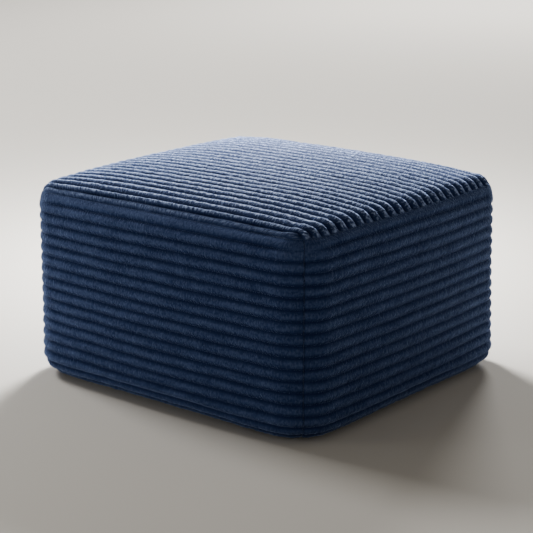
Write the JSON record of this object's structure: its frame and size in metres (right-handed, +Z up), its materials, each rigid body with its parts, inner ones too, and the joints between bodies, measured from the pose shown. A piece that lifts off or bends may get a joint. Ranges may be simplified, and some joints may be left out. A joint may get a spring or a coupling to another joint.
{
  "type": "upholstered ottoman",
  "caption": "Nearly square, footless upholstered ottoman in navy jumbo corduroy: a softly crowned top with straight ribs, horizontal ribs round the sides, rounded corners and a flat base.",
  "frame": {"origin": "on the floor, under the middle of the ottoman, on the flat underside of its base panel", "axes": "+Z up; +X to the right along the ribs of the top, which is the longer side; the front faces -Y"},
  "size_m": [0.6294, 0.5834, 0.3567],
  "materials": {
    "navy_corduroy": "jumbo corduroy, soft cut pile, matte with a pale sheen along the ribs",
    "base_cloth": "plain black base cloth, matte"
  },
  "bodies": {
    "root": {"top_panel": "navy_corduroy", "front_panel": "navy_corduroy", "right_panel": "navy_corduroy", "back_panel": "navy_corduroy", "left_panel": "navy_corduroy", "base_panel": "base_cloth"}
  },
  "joints": []
}
